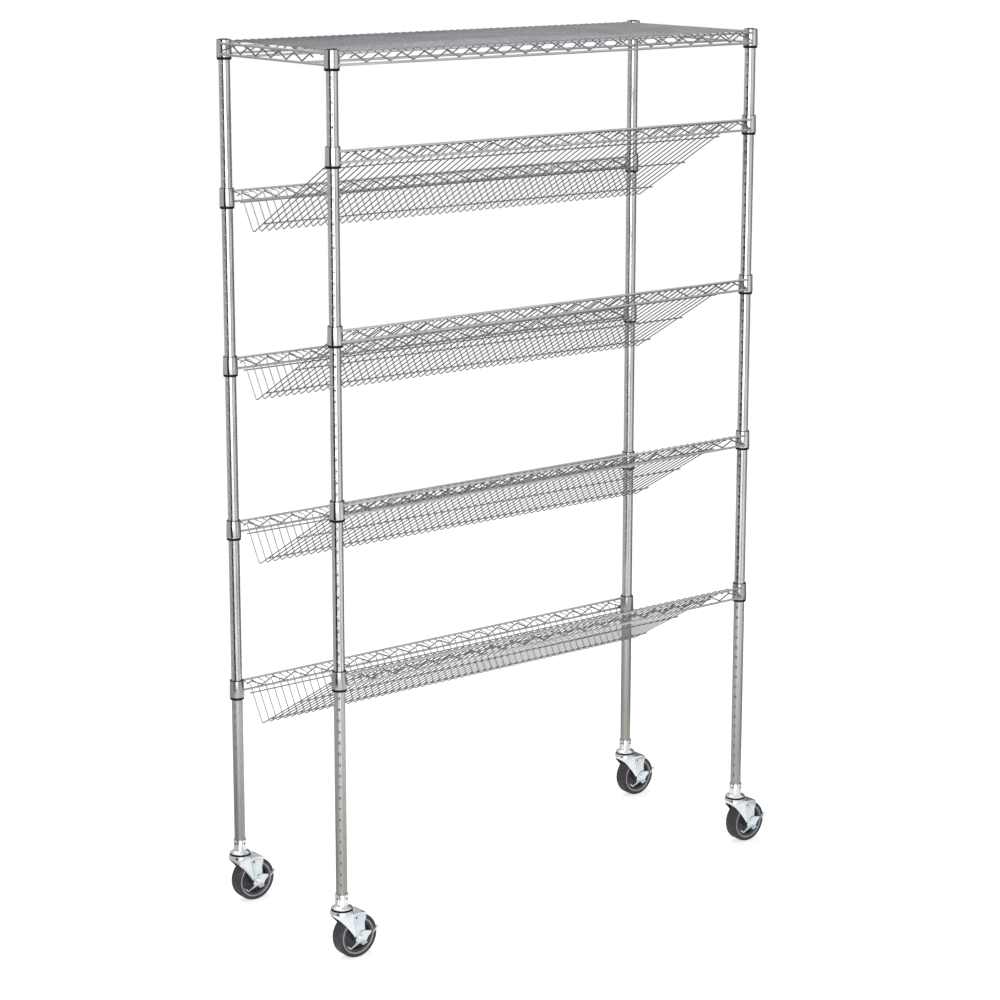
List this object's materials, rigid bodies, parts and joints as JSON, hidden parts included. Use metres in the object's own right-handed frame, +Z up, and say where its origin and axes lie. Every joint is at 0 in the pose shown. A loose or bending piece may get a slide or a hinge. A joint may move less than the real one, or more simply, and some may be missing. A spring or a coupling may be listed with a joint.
{
  "type": "wire bakery rack",
  "caption": "Mobile wire bakery rack: flat top shelf and slanted V-wire shelves on grooved posts with braked swivel casters.",
  "frame": {"origin": "on the floor, midway between the four posts", "axes": "+Z up, +X along the shelves in the direction the casters trail, -Y towards the high loading side"},
  "size_m": [1.2954, 0.4843, 2.0171],
  "materials": {
    "chrome_post": "bright plated tube",
    "chrome_wire": "bright plated wire",
    "black_plastic": "smooth black",
    "zinc_steel": "zinc plated pressing",
    "zinc_lever": "pale zinc plated stamping",
    "seal_rubber": "black",
    "grey_core": "dark grey moulded",
    "tyre_rubber": "dark grey rubber"
  },
  "bodies": {
    "frame": {"post_near_left": "chrome_post", "post_near_right": "chrome_post", "post_far_left": "chrome_post", "post_far_right": "chrome_post", "post_caps": "black_plastic", "tier_1_sleeves": "black_plastic", "tier_2_sleeves": "black_plastic", "tier_3_sleeves": "black_plastic", "tier_4_sleeves": "black_plastic", "tier_5_sleeves": "black_plastic", "caster_near_left_socket": "zinc_steel", "caster_near_right_socket": "zinc_steel", "caster_far_left_socket": "zinc_steel", "caster_far_right_socket": "zinc_steel"},
    "shelf_1": {"shelf_1_collars": "chrome_wire", "shelf_1_rim_trusses": "chrome_wire", "shelf_1_inner_trusses": "chrome_wire", "shelf_1_deck_wires": "chrome_wire"},
    "shelf_2": {"shelf_2_collars": "chrome_wire", "shelf_2_trusses": "chrome_wire", "shelf_2_v_wires": "chrome_wire", "shelf_2_stringers": "chrome_wire"},
    "shelf_3": {"shelf_3_collars": "chrome_wire", "shelf_3_trusses": "chrome_wire", "shelf_3_v_wires": "chrome_wire", "shelf_3_stringers": "chrome_wire"},
    "shelf_4": {"shelf_4_collars": "chrome_wire", "shelf_4_trusses": "chrome_wire", "shelf_4_v_wires": "chrome_wire", "shelf_4_stringers": "chrome_wire"},
    "shelf_5": {"shelf_5_collars": "chrome_wire", "shelf_5_trusses": "chrome_wire", "shelf_5_v_wires": "chrome_wire", "shelf_5_stringers": "chrome_wire"},
    "caster_near_left_swivel": {"caster_near_left_seal": "seal_rubber", "caster_near_left_fork": "zinc_steel", "caster_near_left_axle": "zinc_steel"},
    "caster_near_left_wheel": {"caster_near_left_wheel_core": "grey_core", "caster_near_left_tyre": "tyre_rubber"},
    "caster_near_left_brake": {"caster_near_left_brake_lever": "zinc_lever"},
    "caster_near_right_swivel": {"caster_near_right_seal": "seal_rubber", "caster_near_right_fork": "zinc_steel", "caster_near_right_axle": "zinc_steel"},
    "caster_near_right_wheel": {"caster_near_right_wheel_core": "grey_core", "caster_near_right_tyre": "tyre_rubber"},
    "caster_near_right_brake": {"caster_near_right_brake_lever": "zinc_lever"},
    "caster_far_left_swivel": {"caster_far_left_seal": "seal_rubber", "caster_far_left_fork": "zinc_steel", "caster_far_left_axle": "zinc_steel"},
    "caster_far_left_wheel": {"caster_far_left_wheel_core": "grey_core", "caster_far_left_tyre": "tyre_rubber"},
    "caster_far_left_brake": {"caster_far_left_brake_lever": "zinc_lever"},
    "caster_far_right_swivel": {"caster_far_right_seal": "seal_rubber", "caster_far_right_fork": "zinc_steel", "caster_far_right_axle": "zinc_steel"},
    "caster_far_right_wheel": {"caster_far_right_wheel_core": "grey_core", "caster_far_right_tyre": "tyre_rubber"},
    "caster_far_right_brake": {"caster_far_right_brake_lever": "zinc_lever"}
  },
  "joints": [
    {"name": "shelf_1_lift", "type": "slide", "parent": "frame", "child": "shelf_1", "axis": [0, 0, 1], "range_m": [0, 0.036]},
    {"name": "shelf_2_lift", "type": "slide", "parent": "frame", "child": "shelf_2", "axis": [0, 0, 1], "range_m": [0, 0.036]},
    {"name": "shelf_3_lift", "type": "slide", "parent": "frame", "child": "shelf_3", "axis": [0, 0, 1], "range_m": [0, 0.036]},
    {"name": "shelf_4_lift", "type": "slide", "parent": "frame", "child": "shelf_4", "axis": [0, 0, 1], "range_m": [0, 0.036]},
    {"name": "shelf_5_lift", "type": "slide", "parent": "frame", "child": "shelf_5", "axis": [0, 0, 1], "range_m": [0, 0.036]},
    {"name": "caster_near_left_swivel_turn", "type": "hinge", "parent": "frame", "child": "caster_near_left_swivel", "pos_m": [-0.59255, -0.21155, 0.119], "axis": [0, 0, 1], "continuous": true},
    {"name": "caster_near_left_wheel_spin", "type": "hinge", "parent": "caster_near_left_swivel", "child": "caster_near_left_wheel", "pos_m": [-0.55955, -0.21155, 0.0508], "axis": [0, 1, 0], "continuous": true},
    {"name": "caster_near_left_brake_press", "type": "hinge", "parent": "caster_near_left_swivel", "child": "caster_near_left_brake", "pos_m": [-0.55955, -0.23485, 0.0508], "axis": [0, 1, 0], "range_deg": [0, 25]},
    {"name": "caster_near_right_swivel_turn", "type": "hinge", "parent": "frame", "child": "caster_near_right_swivel", "pos_m": [0.59255, -0.21155, 0.119], "axis": [0, 0, 1], "continuous": true},
    {"name": "caster_near_right_wheel_spin", "type": "hinge", "parent": "caster_near_right_swivel", "child": "caster_near_right_wheel", "pos_m": [0.62555, -0.21155, 0.0508], "axis": [0, 1, 0], "continuous": true},
    {"name": "caster_near_right_brake_press", "type": "hinge", "parent": "caster_near_right_swivel", "child": "caster_near_right_brake", "pos_m": [0.62555, -0.23485, 0.0508], "axis": [0, 1, 0], "range_deg": [0, 25]},
    {"name": "caster_far_left_swivel_turn", "type": "hinge", "parent": "frame", "child": "caster_far_left_swivel", "pos_m": [-0.59255, 0.21155, 0.119], "axis": [0, 0, 1], "continuous": true},
    {"name": "caster_far_left_wheel_spin", "type": "hinge", "parent": "caster_far_left_swivel", "child": "caster_far_left_wheel", "pos_m": [-0.55955, 0.21155, 0.0508], "axis": [0, 1, 0], "continuous": true},
    {"name": "caster_far_left_brake_press", "type": "hinge", "parent": "caster_far_left_swivel", "child": "caster_far_left_brake", "pos_m": [-0.55955, 0.18825, 0.0508], "axis": [0, 1, 0], "range_deg": [0, 25]},
    {"name": "caster_far_right_swivel_turn", "type": "hinge", "parent": "frame", "child": "caster_far_right_swivel", "pos_m": [0.59255, 0.21155, 0.119], "axis": [0, 0, 1], "continuous": true},
    {"name": "caster_far_right_wheel_spin", "type": "hinge", "parent": "caster_far_right_swivel", "child": "caster_far_right_wheel", "pos_m": [0.62555, 0.21155, 0.0508], "axis": [0, 1, 0], "continuous": true},
    {"name": "caster_far_right_brake_press", "type": "hinge", "parent": "caster_far_right_swivel", "child": "caster_far_right_brake", "pos_m": [0.62555, 0.18825, 0.0508], "axis": [0, 1, 0], "range_deg": [0, 25]}
  ]
}
